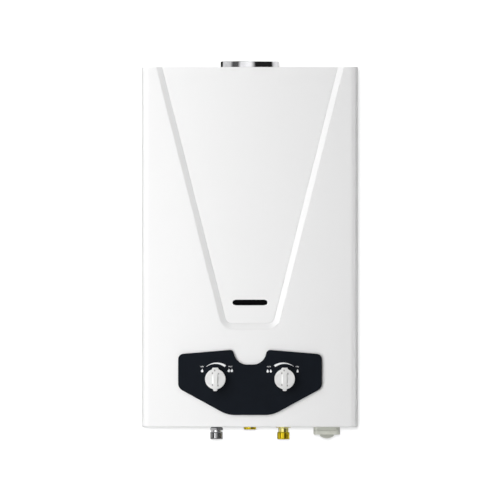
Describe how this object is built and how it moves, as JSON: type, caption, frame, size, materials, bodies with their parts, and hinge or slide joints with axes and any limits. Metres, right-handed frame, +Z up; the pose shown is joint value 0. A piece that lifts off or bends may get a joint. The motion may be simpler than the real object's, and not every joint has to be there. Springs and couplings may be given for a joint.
{
  "type": "gas water heater",
  "caption": "Wall-hung gas water heater: white sheet case with V-shaped front recess and sight slot, dark fascia with rotary knobs, flue collar on top, pipe connections and battery box below.",
  "frame": {"origin": "centre of the back plate's wall face", "axes": "+X to the right seen from the front, +Y into the wall, +Z up"},
  "size_m": [0.36, 0.1715, 0.6312],
  "materials": {
    "white_enamel": "smooth gloss enamel on sheet steel",
    "galvanised_sheet": "dull galvanised sheet",
    "plain_steel": "plain steel",
    "brass": "machined brass",
    "bright_plate": "bright plated metal",
    "copper": "drawn copper, slightly tarnished",
    "dark_glass": "dark tinted glass",
    "mica": "thin mica sheet",
    "fascia_plastic": "satin black moulding",
    "knob_plastic": "white moulding",
    "cast_alloy": "die-cast, matte",
    "diaphragm_rubber": "black rubber",
    "electrode_ceramic": "white ceramic",
    "black_plastic": "black moulding",
    "lead_sheath": "red silicone sheath",
    "grey_plastic": "warm grey moulding"
  },
  "bodies": {
    "heater": {"front_cover": "white_enamel", "back_plate": "galvanised_sheet", "top_plate": "white_enamel", "bottom_plate": "galvanised_sheet", "cover_screws": "plain_steel", "sight_glass": "dark_glass", "sight_frame": "plain_steel", "control_fascia": "fascia_plastic", "gas_gland_nut": "brass", "water_gland_nut": "brass", "flue_collar": "bright_plate", "draught_hood": "galvanised_sheet", "draught_baffle": "galvanised_sheet", "combustion_chamber": "copper", "chamber_coil": "copper", "exchanger_fins": "copper", "exchanger_tubes": "copper", "chamber_mica": "mica", "burner_bars": "plain_steel", "burner_tray": "galvanised_sheet", "gas_manifold": "cast_alloy", "injectors": "brass", "gas_riser": "plain_steel", "electrode_brackets": "plain_steel", "electrode_ceramics": "electrode_ceramic", "electrode_rods": "plain_steel", "ignition_leads": "lead_sheath", "igniter_box": "black_plastic", "gas_valve_body": "cast_alloy", "gas_valve_cap": "brass", "gas_seat": "brass", "push_rod_spring": "plain_steel", "solenoid_valve": "plain_steel", "microswitch": "black_plastic", "water_valve_body": "brass", "water_valve_cover": "brass", "diaphragm": "diaphragm_rubber", "valve_screws": "plain_steel", "cold_inlet_nipple": "brass", "inlet_strainer": "bright_plate", "gas_inlet_nipple": "brass", "hot_outlet_nipple": "bright_plate", "hot_outlet_nut": "bright_plate", "hot_pipe": "copper", "cold_pipe": "copper", "overheat_thermostat": "black_plastic", "core_brackets": "galvanised_sheet", "battery_box": "grey_plastic", "battery_hinge_pin": "plain_steel", "battery_contacts": "bright_plate"},
    "gas_control": {"gas_knob": "knob_plastic", "gas_spindle": "brass"},
    "water_control": {"water_knob": "knob_plastic", "water_spindle": "brass"},
    "linkage": {"push_rod": "plain_steel"},
    "switch_lever": {"microswitch_lever": "plain_steel"},
    "battery_lid": {"battery_cover": "grey_plastic", "battery_bridge": "bright_plate"}
  },
  "joints": [
    {"name": "gas_knob_turn", "type": "hinge", "parent": "heater", "child": "gas_control", "pos_m": [-0.0578, -0.15, -0.22], "axis": [0, -1, 0], "range_deg": [-45, 45]},
    {"name": "water_knob_turn", "type": "hinge", "parent": "heater", "child": "water_control", "pos_m": [0.0578, -0.15, -0.22], "axis": [0, -1, 0], "range_deg": [-45, 45]},
    {"name": "rod_slide", "type": "slide", "parent": "heater", "child": "linkage", "axis": [-1, 0, 0], "range_m": [0, 0.003], "stiffness_N_per_m": 500, "springref_m": -0.01, "deforming": ["push_rod_spring"]},
    {"name": "lever_swing", "type": "hinge", "parent": "heater", "child": "switch_lever", "pos_m": [0.0251, -0.08, -0.197], "axis": [0, 1, 0], "range_deg": [0, 10]},
    {"name": "battery_lid_hinge", "type": "hinge", "parent": "heater", "child": "battery_lid", "pos_m": [0.1282, -0.0286, -0.308], "axis": [1, 0, 0], "range_deg": [0, 100]}
  ],
  "couplings": [
    {"joint": "lever_swing", "follows": "rod_slide", "rad_per_m": 52}
  ]
}
